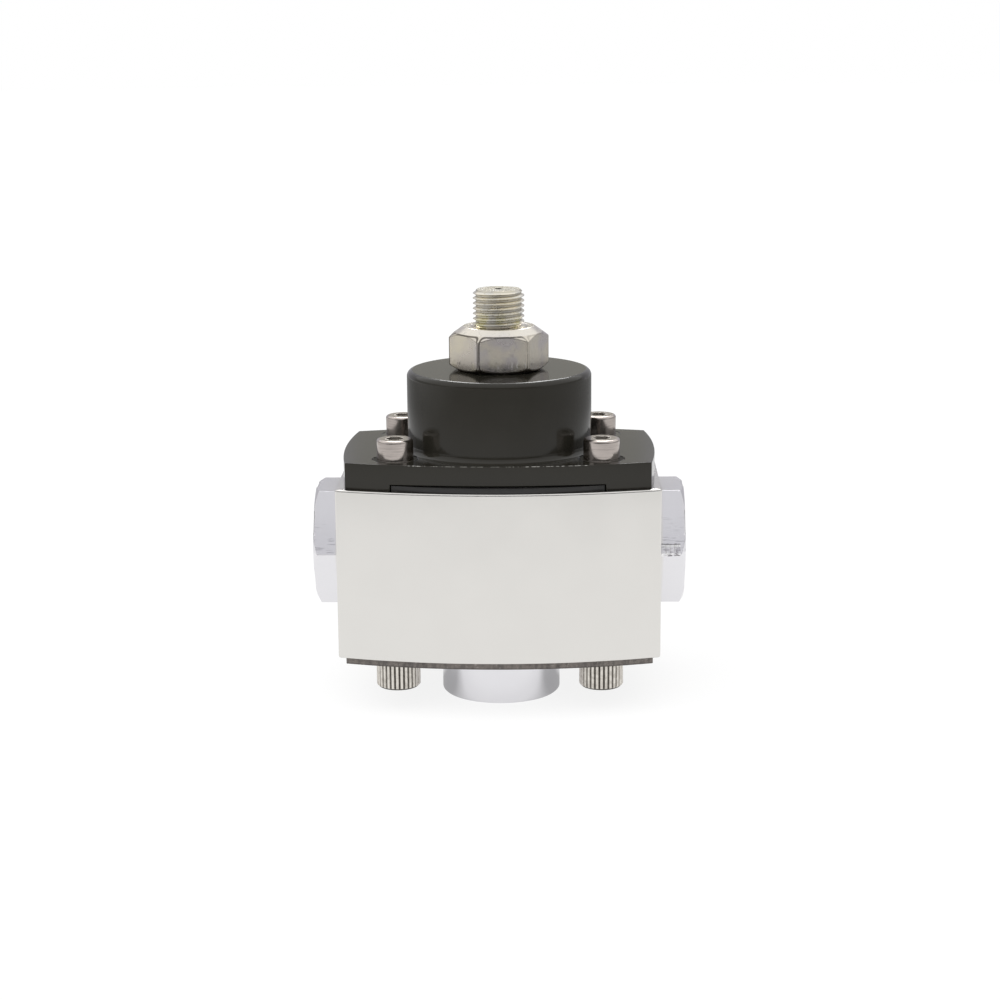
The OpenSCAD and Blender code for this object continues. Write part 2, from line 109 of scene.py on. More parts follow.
def angle(name, description, degrees):
    """Property that holds an angle, given in degrees."""
    return FloatProperty(name=name, description=description, default=math.radians(degrees),
                         subtype="ANGLE", unit="ROTATION")


def level(name, description, default):
    """Property that holds a brightness or another plain share."""
    return FloatProperty(name=name, description=description, default=default, min=0, soft_max=1,
                         subtype="FACTOR")


class SolidSizes(PropertyGroup):
    """Sizes of the solids that the finishes follow"""

    port_reach: length("Port reach", "How far a port stands out of the body's side", 5)
    port_flats: length("Port flats", "Width of a port across its flats", 22.4)
    bow_r: length("Bow radius", "Radius of the flange's bowed sides", 108)
    flange_t: length("Flange", "Thickness of the cover's flange", 5)
    nut_flats: length("Nut flats", "Width of the jam nut across its flats", 17)
    nut_h: length("Nut height", "Height of the jam nut", 8.5)
    nut_top_r: length("Nut top", "Radius of the nut's flat top", 6.9)
    nut_top_slope: angle("Nut top slope", "Slope of the nut's upper chamfer", 36)
    nut_foot_r: length("Nut foot", "Radius of the nut's flat foot", 7.9)
    nut_foot_slope: angle("Nut foot slope", "Slope of the nut's lower chamfer", 30)
    nut_gap: length("Nut gap", "Gap between the nut and the screw's crests", 0.1)
    nut_countersink: length("Nut countersink", "Depth of the countersinks of the nut's hole", 0.5)
    nut_turn: angle("Nut turn", "Turn of the nut's front flat towards +X", 7)
    base_head_r: length("Base screw head", "Radius of a base screw's head", 4.25)
    cover_head_r: length("Cover screw head", "Radius of a cover screw's head", 3.5)
    cover_socket_r: length("Cover screw socket", "Radius of a cover screw's socket", 1.75)


class ThreadSizes(PropertyGroup):
    """Sizes of the threads"""

    screw_pitch: length("Screw pitch", "Pitch of the adjusting screw's thread", 1)
    screw_depth: length("Screw depth", "Depth of the adjusting screw's thread", 0.6)
    screw_chamfer: length("Screw chamfer", "Chamfer at the adjusting screw's ends", 0.8)
    vent_r: length("Vent radius", "Radius of the vent in the adjusting screw", 0.7)
    port_pitch: length("Port pitch", "Pitch of the pipe threads", 1.41)
    port_depth: length("Port depth", "Height of the pipe threads' ridges", 0.5)
    steps: IntProperty(name="Steps", description="Steps in one turn of a thread", default=96, min=24)


class EdgeSizes(PropertyGroup):
    """Radii of the rounded edges"""

    casting: length("Casting", "Edge radius of the die-cast body", 0.4)
    ports: length("Ports", "Edge radius of the hexagonal ports", 0.05)
    cover: length("Cover", "Edge radius of the black cover", 0.16)
    nut: length("Nut", "Edge radius of the jam nut", 0.22)
    plate: length("Plate", "Edge radius of the base plate", 0.1)
    boss: length("Boss", "Edge radius of the return boss", 0.14)
    rubber: length("Rubber", "Edge radius of the diaphragm", 0.15)


class FinishColours(PropertyGroup):
    """Colours of the finishes"""

    casting: colour("Casting", "Chromed body on its bowed faces", tone(229, 227, 223))
    # Painted light: the ports are the same chrome as the bowed faces, painted lighter and cooler.
    ports: colour("Ports", "Chromed body on its hexagonal ports", tone(236, 235, 238))
    cover: colour("Cover", "Black anodised cover", (0.0222, 0.0203, 0.0158))
    # The bare edge colour also serves as a painted highlight along the flange's front edge.
    bare_edge: colour("Bare edge", "Metal that shows where the black is worn", tone(236, 234, 228))
    rubber: colour("Rubber", "Diaphragm and seals", (0.012, 0.012, 0.012))
    nut: colour("Nut", "Zinc on the jam nut", tone(220, 213, 200))
    screw: colour("Screw", "Yellowed zinc on the adjusting screw", tone(238, 232, 217))
    bright: colour("Cover screws", "Bright socket-head screws", tone(198, 189, 183))
    knurled: colour("Base screws", "Knurled socket-head screws", tone(228, 223, 215))
    plate: colour("Plate", "Sheared edge of the base plate", tone(110, 105, 102))
    boss: colour("Boss", "Chromed return boss", tone(234, 233, 236))
    brass: colour("Brass", "Valve seat and poppet", tone(206, 172, 104))
    steel: colour("Steel", "Pieces inside", tone(178, 178, 176))
    spring: colour("Spring", "Oiled spring wire", tone(104, 102, 98))


class StageSettings(PropertyGroup):
    """Camera and light"""

    distance: length("Distance", "Camera's distance from its target", 421.5)
    target: length("Target", "Height that the camera looks at", 39.5)
    elevation: angle("Elevation", "Camera's angle above the horizon", 12.55)
    azimuth: angle("Azimuth", "Camera's angle towards +X from the front", 1.28)
    roll: angle("Roll", "Camera's turn about its own axis", -0.44)
    lens: FloatProperty(name="Lens", description="Focal length on a 36 mm sensor", default=76.81,
                        subtype="DISTANCE_CAMERA", unit="CAMERA")
    shift: FloatProperty(name="Shift", description="Camera's shift upwards", default=-0.0054)
    sun: FloatProperty(name="Sun", description="Strength of the soft overhead light", default=1.7, min=0)
    sun_width: angle("Sun width", "Angular size of the soft overhead light", 80)
    sky: level("Sky", "Brightness of the even light from all round", 0.5)
    # Pool and pool fall set the painted pool of light that mirrored rays see on the floor.
    pool: level("Pool", "Mirrored brightness that the floor gives by itself", 0.775)
    pool_fall: level("Pool fall", "Share of the floor's brightness lost far from the regulator", 0.66)


class RegulatorSettings(PropertyGroup):
    """All settings of the regulator"""

    sizes: PointerProperty(type=SolidSizes)
    threads: PointerProperty(type=ThreadSizes)
    edges: PointerProperty(type=EdgeSizes)
    colours: PointerProperty(type=FinishColours)
    stage: PointerProperty(type=StageSettings)


class Value:
    """Shader socket that Python's operators combine through Math nodes."""

    def __init__(self, shader, socket):
        self.shader = shader
        self.socket = socket

    def math(self, operation, *others):
        return self.shader.math(operation, self, *others)

    def __add__(self, other):
        return self.math("ADD", other)

    def __sub__(self, other):
        return self.math("SUBTRACT", other)

    def __rsub__(self, other):
        return self.shader.math("SUBTRACT", other, self)

    def __mul__(self, other):
        return self.math("MULTIPLY", other)

    def __truediv__(self, other):
        return self.math("DIVIDE", other)

    def __pow__(self, other):
        return self.math("POWER", other)

    def __abs__(self):
        return self.math("ABSOLUTE")

    __radd__ = __add__
    __rmul__ = __mul__


class Shader:
    """Node tree that Python expressions extend."""

    def __init__(self, tree):
        self.tree = tree

    def put(self, socket, value):
        """Links a value to a socket, or sets the socket to a number or a colour."""
        if isinstance(value, Value):
            self.tree.links.new(value.socket, socket)
        elif socket.type == "RGBA":
            socket.default_value = (*value[:3], 1)
        else:
            socket.default_value = value

    def node(self, kind, settings=None, sockets=None, output=0):
        """Adds a node with its settings, then its sockets, and gives one of its outputs."""
        node = self.tree.nodes.new("ShaderNode" + kind)
        for name, setting in (settings or {}).items():
            setattr(node, name, setting)
        for key, value in (sockets or {}).items():
            self.put(node.inputs[key], value)
        return Value(self, node.outputs[output])

    def math(self, operation, *values):
        return self.node("Math", {"operation": operation}, dict(enumerate(values)))

    def rise(self, value, low, high):
        """Smooth step from 0 at low to 1 at high."""
        return self.node("MapRange", {"interpolation_type": "SMOOTHSTEP"}, {
            "Value": value, "From Min": low, "From Max": high})

    def band(self, value, low, high, soft):
        """Share that is 1 from low to high and falls to 0 over the soft width outside them."""
        return self.rise(value, low - soft, low) * (1 - self.rise(value, high, high + soft))

    def mix(self, share, first, second):
        """Colour between two colours."""
        return self.node("Mix", {"data_type": "RGBA"}, {0: share, 6: first, 7: second}, 2)

    def rays(self):
        """Shares that are 1 for the camera's own rays, and for mirrored or refracted ones."""
        camera = self.node("LightPath", output="Is Camera Ray")
        mirror = self.node("LightPath", output="Is Glossy Ray")
        through = self.node("LightPath", output="Is Transmission Ray")
        return camera, self.math("MAXIMUM", mirror, through)


class Finish(Shader):
    """Procedural material, read in Object coordinates in millimetres."""

    def __init__(self, name):
        self.material = bpy.data.materials.new(name)
        self.material.use_nodes = True
        super().__init__(self.material.node_tree)
        self.surface = self.tree.nodes["Principled BSDF"]

    def place(self, stretch=(1, 1, 1)):
        """Object coordinates in millimetres, each axis times its stretch."""
        scale = [share / MM for share in stretch]
        point = self.node("TexCoord", output="Object")
        return self.node("VectorMath", {"operation": "MULTIPLY"}, {0: point, 1: scale})

    def axes(self):
        """The three coordinates in millimetres."""
        point = self.place()
        return [self.node("SeparateXYZ", None, {0: point}, axis) for axis in range(3)]

    def cloud(self, per_mm, detail=3, stretch=(1, 1, 1)):
        """Noise from 0 to 1, with about the given number of blobs in a millimetre."""
        return self.node("TexNoise", None, {
            "Vector": self.place(stretch), "Scale": per_mm, "Detail": detail})

    def dent(self, height, depth):
        """Normal of a surface that rises by height times a depth in metres."""
        return self.node("Bump", None, {"Height": height, "Strength": 1, "Distance": depth})

    def finish(self, **sockets):
        """Sets the surface's sockets, named with underscores, and gives the material."""
        for name, value in sockets.items():
            self.put(self.surface.inputs[name.replace("_", " ")], value)
        return self.material

    def show(self, shader):
        """Shows another shader in the surface's stead, and gives the material."""
        self.put(self.tree.nodes["Material Output"].inputs["Surface"], shader)
        return self.material


def settings():
    """The regulator's settings in the scene."""
    return bpy.context.scene.regulator


def chromed_casting():
    """Chrome over a die casting: satin bowed faces, ports painted lighter and cooler as painted light, with
    drag lines and painted shade by their corners.
    """
    colours = settings().colours
    side = (BODY_HIGH.x - settings().sizes.port_reach) / MM
    skin = Finish("chromed_casting")
    x, _, z = skin.axes()
    port = skin.rise(abs(x), side + 0.2, side + 0.9)
    above = z - PORT_HEIGHT / MM
    # Band above each port's corner: it holds the drag lines and a painted shade.
    corner_band = port * skin.rise(above, 0, 0.4) * (1 - skin.rise(above, 1.5, 9))
    broken = skin.rise(skin.cloud(0.5, 3), 0.34, 0.54)
    lines = corner_band * broken * skin.rise(skin.cloud(2.4, 4, (0.12, 1, 1)), 0.54, 0.66)
    mottle = skin.cloud(0.12, 2)
    grain = skin.cloud(2.4, 4)
    # Painted light: the ports get the lighter, cooler port colour on the same chrome.
    base = skin.mix(port, colours.casting, colours.ports)
    # Painted shade: the band above each port's corner is darkened, most just above the corner.
    base = skin.mix(corner_band * 0.2, base, tone(190, 189, 198))
    base = skin.mix(lines * 0.35, base, tone(120, 118, 126))
    base = skin.mix(mottle * 0.05, base, tone(170, 168, 166))
    return skin.finish(
        Base_Color=base, Metallic=1, Roughness=0.15 + 0.05 * mottle,
        Normal=skin.dent(grain * 0.6 + lines * 0.5, 0.003 * MM))


def trimmed_flash():
    """Torn chrome where the casting's flash was cut off: a painted shade line and a painted highlight line
    along its upper step, and loose flecks along its torn lower edge, partly torn metal and partly painted
    shade and glints.
    """
    skin = Finish("trimmed_flash")
    _, _, z = skin.axes()
    above = z - PORT_HEIGHT / MM + 0.3 * skin.cloud(0.7, 3) - 0.15
    # Painted shade: a dark line along the flash's upper step.
    dark = skin.band(above, 1.72, 1.95, 0.08)
    # Painted highlight: a white line just below the dark one.
    white = skin.band(above, 1.4, 1.6, 0.1)
    low = 1 - skin.rise(above, 0.1, 0.5)
    torn = skin.cloud(2, 4, (0.45, 1, 1))
    base = skin.mix(skin.rise(torn, 0.4, 0.62), settings().colours.ports, tone(196, 194, 200))
    base = skin.mix(dark * 0.75, base, tone(96, 94, 98))
    # Flecks along the torn lower edge: torn metal, with painted shade in the dark flecks and painted glints
    # in the white ones.
    base = skin.mix(low * skin.rise(torn, 0.5, 0.58) * 0.7, base, tone(104, 100, 102))
    base = skin.mix(skin.math("MAXIMUM", white, low * skin.rise(torn, 0.5, 0.44)), base, (0.95, 0.95, 0.95))
    return skin.finish(Base_Color=base, Metallic=1, Roughness=0.26 + 0.2 * torn,
                       Normal=skin.dent(torn, 0.03 * MM))


def black_cover():
    """Black anodising with bare-metal dashes along the front of the flange's upper edge, partly wear and
    partly a painted highlight on that edge.
    """
    colours = settings().colours
    sizes = settings().sizes
    bow_r = sizes.bow_r / MM
    flange_top = (COVER_LOW.z + sizes.flange_t) / MM
    worn_half = 16.4
    seat_r = 4.2
    lip_lean = 0.5
    lip_noise = 0.02
    grain_depth = 0.0004
    skin = Finish("black_cover")
    x, y, z = skin.axes()
    across = y - (bow_r - COVER_HIGH.y / MM)
    front_gap = bow_r - (x * x + across * across) ** 0.5
    at_edge = (1 - skin.rise(front_gap, 0.06, 0.14)) * skin.band(z, flange_top - 0.06, flange_top, 0.06)
    between_screws = 1 - skin.rise(abs(x), worn_half, worn_half + 1.8)
    dashes = skin.rise(skin.cloud(1.7, 5, (1, 0.1, 0.1)), 0.46, 0.6)
    parts = 0.3 + 0.7 * skin.rise(skin.cloud(0.14, 2, (1, 0.1, 0.1)), 0.42, 0.56)
    # The worn dashes are partly wear and partly a painted highlight on the edge.
    worn = at_edge * between_screws * dashes * parts * 0.6
    seat = 1 - skin.rise(from_axis(skin, COVER_SCREWS_HIGH, sizes.cover_head_r), seat_r, seat_r + 0.3)
    seat = seat * skin.band(z, flange_top - 0.1, flange_top + 0.1, 0.05)
    lip = seat * (lip_noise * skin.cloud(2.6, 3) - lip_lean * abs(y)) / grain_depth
    smudge = skin.cloud(0.16, 4)
    base = skin.mix(smudge, colours.cover, (0.0262, 0.0241, 0.019))
    return skin.finish(
        Base_Color=skin.mix(worn, base, colours.bare_edge), Metallic=worn, IOR=1.38,
        Roughness=0.1 + 0.06 * smudge + 0.2 * worn,
        Normal=skin.dent(skin.cloud(9, 2) + lip, grain_depth * MM))


def rubber():
    """Glossy black sheet rubber."""
    skin = Finish("rubber")
    cloud = skin.cloud(0.7, 4)
    base = skin.mix(cloud, settings().colours.rubber, (0.024, 0.023, 0.022))
    return skin.finish(Base_Color=base, Roughness=0.24 + 0.2 * cloud,
                       Normal=skin.dent(skin.cloud(6, 3), 0.004 * MM))


def zinc_nut():
    """Zinc with tinted patches, painted shade in dark lines round the flats, a painted highlight above the
    flats, the left side painted lighter, and scratches low on the front.
    """
    sizes = settings().sizes
    flat_r = sizes.nut_flats / 2 / MM
    low = NUT_LOW.z / MM
    high = low + sizes.nut_h / MM
    top_line = high - (flat_r - sizes.nut_top_r / MM) * math.tan(sizes.nut_top_slope)
    foot_line = low + (flat_r - sizes.nut_foot_r / MM) * math.tan(sizes.nut_foot_slope)
    corner_r = 1.5
    side_inset = 0.12
    line_inset = 0.1
    front = sizes.nut_turn - math.pi / 2
    skin = Finish("zinc_nut")
    x, y, z = skin.axes()
    radius = (x * x + y * y) ** 0.5
    fold = skin.math("WRAP", skin.math("ARCTAN2", y, x) - front, SIXTH / 2, -SIXTH / 2)
    to_side = flat_r * TAN_30 - side_inset - abs(radius * skin.math("SINE", fold))
    to_end = skin.math("MINIMUM", top_line - z, z - foot_line)
    past_side = skin.math("MAXIMUM", corner_r - to_side, 0)
    past_end = skin.math("MAXIMUM", corner_r - to_end, 0)
    inside = corner_r - (past_side * past_side + past_end * past_end) ** 0.5
    # Painted shade: dark lines follow the rounded outline of each flat, fainter on the right side.
    outline = 1 - skin.rise(abs(inside - line_inset), 0.08, 0.2)
    # Above the flats' top line: the upper chamfer and top face.
    edge = skin.rise(z, top_line - 0.02, top_line + 0.1)
    left_share = 1 - 0.7 * skin.rise(x, 4, 6.2)
    painted_edge_shade = outline * left_share * skin.rise(skin.cloud(0.8, 4), 0.26, 0.42)
    face = skin.rise(z, high - 0.06, high - 0.02)
    patch = skin.cloud(0.2, 4)
    base = skin.mix(skin.rise(patch, 0.42, 0.62), settings().colours.nut, tone(206, 200, 199))
    # Painted light: the nut's left side is warmer and lighter, as if lit from the left.
    base = skin.mix(0.4 - 0.4 * skin.rise(x, -5, -3.5), base, tone(226, 216, 190))
    # Painted highlight: the upper chamfer and top face are lighter.
    base = skin.mix(edge * 0.6, base, tone(236, 231, 223))
    lower_third = 1 - skin.rise(z, low + 1.4, low + 3.2)
    right_front = skin.rise(x, -2.5, 1.5) * (1 - skin.rise(y, -4, -2))
    scratch = skin.rise(skin.cloud(2.4, 3, (1, 1, 0.22)), 0.55, 0.62) * lower_third * right_front
    base = skin.mix(scratch * 0.8, base, (0.95, 0.93, 0.9))
    pits = skin.rise(skin.cloud(1.5, 5), 0.6, 0.68) * (0.25 + 0.75 * lower_third)
    base = skin.mix(pits * 0.7, base, tone(104, 97, 90))
    base = skin.mix(painted_edge_shade * 0.85, base, tone(78, 72, 66))
    return skin.finish(
        Base_Color=base, Metallic=1, Roughness=0.2 + 0.12 * patch + 0.2 * painted_edge_shade - 0.05 * face,
        Normal=skin.dent(scratch * 0.6 - pits + skin.cloud(3, 3) * 0.3, 0.008 * MM))


def yellowed_zinc():
    """Zinc on the adjusting screw: light crests, roots darkened brown as painted shade, the vent painted
    dark as painted shade, yellow and green passivation.
    """
    crest_r = SCREW_HIGH.x / MM
    threads = settings().threads
    root_r = crest_r - threads.screw_depth / MM
    skin = Finish("yellowed_zinc")
    x, y, z = skin.axes()
    radius = (x * x + y * y) ** 0.5
    top = skin.rise(z, SCREW_HIGH.z / MM - 0.06, SCREW_HIGH.z / MM - 0.02)
    tint = skin.cloud(0.3, 3)
    base = skin.mix(skin.rise(tint, 0.42, 0.6), settings().colours.screw, tone(222, 220, 214))
    low_down = 1 - skin.rise(z, NUT_HIGH.z / MM + 1, NUT_HIGH.z / MM + 4.5)
    green = skin.rise(skin.cloud(0.4, 2), 0.42, 0.6) * low_down
    base = skin.mix(green * 0.6, base, tone(206, 204, 158))
    # Painted shade: the thread's roots are darkened brown.
    root = (1 - skin.rise(radius, root_r, root_r + 0.3)) * (1 - top)
    base = skin.mix(root * 0.35, base, tone(124, 113, 90))
    nicks = skin.rise(skin.cloud(1.7, 4), 0.6, 0.7)
    base = skin.mix(nicks * 0.35, base, tone(130, 120, 102))
    # Painted shade: the vent's hole and a thin rim round it are painted dark.
    vent = 1 - skin.rise(radius, threads.vent_r / MM, threads.vent_r / MM + 0.12)
    base = skin.mix(vent, base, tone(40, 37, 33))
    return skin.finish(Base_Color=base, Metallic=1, Roughness=0.2 + 0.14 * tint - 0.05 * top,
                       Normal=skin.dent(nicks, 0.01 * MM))


def from_axis(skin, high, head_r):
    """Distance from the axis of the nearest of four screws, given their box's high corner."""
    x, y, _ = skin.axes()
    off_x = abs(x) - (high.x - head_r) / MM
    off_y = abs(y) - (high.y - head_r) / MM
    return (off_x * off_x + off_y * off_y) ** 0.5


def bright_screw():
    """Bright machine screws with faint turning lines and rough sockets."""
    skin = Finish("bright_screw")
    sizes = settings().sizes
    radius = from_axis(skin, COVER_SCREWS_HIGH, sizes.cover_head_r)
    socket_r = sizes.cover_socket_r / MM
    socket = 1 - skin.rise(radius, socket_r, socket_r + 0.06)
    turning = skin.cloud(3.5, 2, (0.08, 0.08, 1))
    base = skin.mix(skin.rise(turning, 0.5, 0.7) * 0.2, settings().colours.bright, tone(120, 112, 106))
    base = skin.mix(socket, base, tone(178, 173, 166))
    return skin.finish(Base_Color=base, Metallic=1, Roughness=0.12 + 0.1 * turning + 0.5 * socket,
                       Normal=skin.dent(turning, 0.002 * MM))


def knurled_screw():
    """Zinc screws with painted shade in the grooves between their ridges."""
    head_r = settings().sizes.base_head_r / MM
    skin = Finish("knurled_screw")
    radius = from_axis(skin, BASE_SCREWS_HIGH, settings().sizes.base_head_r)
    # Painted shade: all of the head inside its outer 0.2 mm is darkened, for the knurl's grooves.
    painted_groove_shade = 1 - skin.rise(radius, head_r - 0.2, head_r - 0.05)
    cloud = skin.cloud(1.1, 4)
    base = skin.mix(skin.rise(cloud, 0.42, 0.66) * 0.4, settings().colours.knurled, tone(166, 159, 150))
    base = skin.mix(painted_groove_shade * 0.95, base, tone(50, 46, 40))
    return skin.finish(Base_Color=base, Metallic=1, Roughness=0.22 + 0.2 * cloud + 0.1 * painted_groove_shade,
                       Normal=skin.dent(cloud, 0.008 * MM))


def plate_steel():
    """Sheared sheet steel: brownish, streaked up its edge, specked, and dark along its lower edge."""
    skin = Finish("plate_steel")
    _, _, z = skin.axes()
    streak = skin.cloud(1.4, 4, (1, 1, 0.3))
    base = skin.mix(skin.rise(streak, 0.35, 0.65), settings().colours.plate, tone(138, 131, 126))
    dark = skin.rise(skin.cloud(0.7, 5), 0.55, 0.68)
    base = skin.mix(dark * 0.5, base, tone(84, 78, 75))
    speck = skin.rise(skin.cloud(2.6, 2), 0.64, 0.7)
    base = skin.mix(speck * 0.6, base, tone(196, 190, 184))
    low_edge = 1 - skin.rise(z, PLATE_LOW.z / MM + 0.1, PLATE_LOW.z / MM + 0.4)
    base = skin.mix(low_edge * 0.5, base, tone(64, 60, 58))
    return skin.finish(Base_Color=base, Metallic=0.45, Roughness=0.5 + 0.2 * streak,
                       Normal=skin.dent(streak + speck, 0.03 * MM))


def chromed_boss():
    """Bright chrome over turned steel."""
    skin = Finish("chromed_boss")
    turning = skin.cloud(4, 2, (0.04, 0.04, 1))
    mottle = skin.cloud(0.2, 3)
    base = skin.mix(mottle * 0.12, settings().colours.boss, tone(196, 196, 204))
    return skin.finish(Base_Color=base, Metallic=1, Roughness=0.11 + 0.07 * mottle,
                       Normal=skin.dent(turning, 0.0008 * MM))


def turned_metal(name, base_colour, shade, roughness):
    """Plain turned or pressed metal with faint rings."""
    skin = Finish(name)
    rings = skin.cloud(3, 3, (0.1, 0.1, 1))
    cloud = skin.cloud(0.5, 3)
    base = skin.mix(cloud * 0.4 + skin.rise(rings, 0.5, 0.7) * 0.3, base_colour, shade)
    return skin.finish(Base_Color=base, Metallic=1, Roughness=roughness + 0.15 * cloud,
                       Normal=skin.dent(rings, 0.003 * MM))


def dress(material, *nodes):
    """Gives CAD nodes a material."""
    for name in nodes:
        slots = frame["nodes"][name].material_slots
        if not slots:
            frame["nodes"][name].data.materials.append(material)
        for slot in slots:
            slot.material = material


def round_edges(part, radius, sharp=EDGE_DEGREES, segments=3, blunt_radius=None):
    """Rounds a part's sharp edges, after welding its loose triangles.

    With a blunt radius, edges between EDGE_DEGREES and the sharp limit get that radius.
    """
    weld = part.modifiers.new("Weld", "WELD")
    weld.merge_threshold = WELD
    passes = [(radius, sharp)]
    if blunt_radius:
        passes.append((blunt_radius, EDGE_DEGREES))
    for width, limit in passes:
        bevel = part.modifiers.new("Round", "BEVEL")
        bevel.width = width
        bevel.segments = segments
        bevel.limit_method = "ANGLE"
        bevel.angle_limit = math.radians(limit)
        bevel.use_clamp_overlap = False
        bevel.miter_outer = "MITER_SHARP"
    shade = part.modifiers.new("Shade", "WEIGHTED_NORMAL")
    shade.keep_sharp = False
    shade.weight = 90


def made_object(mesh, name, material, smooth=False):
    """Turns a bmesh in the frame's own place into an object of the scene."""
    for face in mesh.faces:
        face.smooth = smooth
    data = bpy.data.meshes.new(name)
    mesh.to_mesh(data)
    mesh.free()
    data.materials.append(material)
    thing = bpy.data.objects.new(name, data)
    bpy.context.scene.collection.objects.link(thing)
    return thing


def new_piece(mesh, name, body, material, smooth=True):
    """Turns a bmesh into a finished piece that rides on a body."""
    piece = made_object(mesh, name, material, smooth)
    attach(piece, body)
    return piece


def split_sharp(piece, degrees):
    """Keeps the creases of a smooth piece sharp."""
    crease = piece.modifiers.new("Crease", "EDGE_SPLIT")
    crease.split_angle = math.radians(degrees)


def helix(mesh, points, closed, turns, pitch, steps):
    """Sweeps a profile of (radius, height) points up the Z axis as a right-hand thread."""
    corners = [mesh.verts.new((r, 0, z)) for r, z in points]
    if closed:
        geometry = [mesh.faces.new(corners)]
        geometry += list(geometry[0].edges) + corners
    else:
        geometry = corners + [mesh.edges.new(pair) for pair in zip(corners, corners[1:])]
    count = math.ceil(turns * steps)
    bmesh.ops.spin(mesh, geom=geometry, cent=(0, 0, 0), axis=(0, 0, 1), dvec=(0, 0, pitch / steps),
                   angle=2 * math.pi * count / steps, steps=count)


def slice_at(mesh, height, facing=1, clear=False):
    """Cuts a mesh at a height, and drops what lies beyond if it is to be cleared."""
    snap = 1e-7
    bmesh.ops.bisect_plane(mesh, geom=mesh.verts[:] + mesh.edges[:] + mesh.faces[:], dist=snap,
                           plane_co=(0, 0, height), plane_no=(0, 0, facing), clear_outer=clear)


def threaded_screw(low, high, crest_r, sizes):
    """Adjusting screw with its helical thread, chamfered ends and vent."""
    pitch = sizes.screw_pitch
    chamfer = sizes.screw_chamfer
    root_r = crest_r - sizes.screw_depth
    spare = 2 * pitch
    soft_r = crest_r - 0.06 * MM
    flank = ((root_r, 0), (root_r, 0.125), (soft_r, 0.4), (crest_r, 0.46), (crest_r, 0.54),
             (soft_r, 0.6), (root_r, 0.875), (root_r, 1))
    mesh = bmesh.new()
    profile = [(r, low - spare + share * pitch) for r, share in flank]
    helix(mesh, profile, False, (high - low + 2 * spare) / pitch, pitch, sizes.steps)
    bmesh.ops.remove_doubles(mesh, verts=mesh.verts[:], dist=5 * WELD)
    for share in (0.25, 0.5, 0.75, 1):
        slice_at(mesh, low + share * chamfer)
        slice_at(mesh, high - share * chamfer)
    slice_at(mesh, high, clear=True)
    slice_at(mesh, low, facing=-1, clear=True)
    for corner in mesh.verts:
        past = chamfer - min(corner.co.z - low, high - corner.co.z)
        limit = crest_r - max(0, past)
        radius = math.hypot(corner.co.x, corner.co.y)
        if radius > limit:
            corner.co.xy *= limit / radius
    rims = [edge for edge in mesh.edges if edge.is_boundary]
    for item in bmesh.ops.extrude_edge_only(mesh, edges=rims)["geom"]:
        if isinstance(item, bmesh.types.BMVert):
            item.co.xy *= sizes.vent_r / math.hypot(item.co.x, item.co.y)
    bmesh.ops.bridge_loops(mesh, edges=[edge for edge in mesh.edges if edge.is_boundary])
    bmesh.ops.recalc_face_normals(mesh, faces=mesh.faces[:])
    return mesh


def chamfered_nut(low, bore_r, sizes):
    """Hexagon nut: a ring swept round the axis, its wall pulled out to six chamfered flats."""
    steps = 120
    high = low + sizes.nut_h
    flat_r = sizes.nut_flats / 2
    sink = sizes.nut_countersink
    wall_slack = 0.01 * MM
    section = ((bore_r, low + sink), (bore_r + sink, low), (sizes.nut_foot_r, low), (flat_r, low),
               (flat_r, high), (sizes.nut_top_r, high), (bore_r + sink, high), (bore_r, high - sink))
    start = Matrix.Rotation(sizes.nut_turn, 3, "Z")
    mesh = bmesh.new()
    corners = [mesh.verts.new(start @ Vector((r, 0, z))) for r, z in section]
    loop = [mesh.edges.new(pair) for pair in zip(corners, corners[1:] + corners[:1])]
    bmesh.ops.spin(mesh, geom=corners + loop, cent=(0, 0, 0), axis=(0, 0, 1), angle=2 * math.pi,
                   steps=steps, use_merge=True)
    for corner in mesh.verts:
        radius = math.hypot(corner.co.x, corner.co.y)
        if radius < flat_r - wall_slack:
            continue
        turn = math.atan2(corner.co.y, corner.co.x) - sizes.nut_turn
        reach = flat_r / math.cos(turn % SIXTH - SIXTH / 2)
        corner.co.xy *= reach / radius
        if corner.co.z > low + sizes.nut_h / 2:
            corner.co.z -= (reach - sizes.nut_top_r) * math.tan(sizes.nut_top_slope)
        else:
            corner.co.z += (reach - sizes.nut_foot_r) * math.tan(sizes.nut_foot_slope)
    bmesh.ops.recalc_face_normals(mesh, faces=mesh.faces[:])
    return mesh


def thread_ridge(radius, run, sizes):
    """Ridge of an inner thread along +Z from the origin, rooted in its bore's wall."""
    root_share = 0.42
    crest_share = 0.12
    sunk = 0.05 * MM
    half = root_share * sizes.port_pitch
    crest_half = crest_share * half
    root = radius + sunk
    crest = radius - sizes.port_depth
    mesh = bmesh.new()
    profile = [(root, -half), (crest, -crest_half), (crest, crest_half), (root, half)]
    helix(mesh, profile, True, run / sizes.port_pitch, sizes.port_pitch, sizes.steps)
    bmesh.ops.recalc_face_normals(mesh, faces=mesh.faces[:])
    return mesh


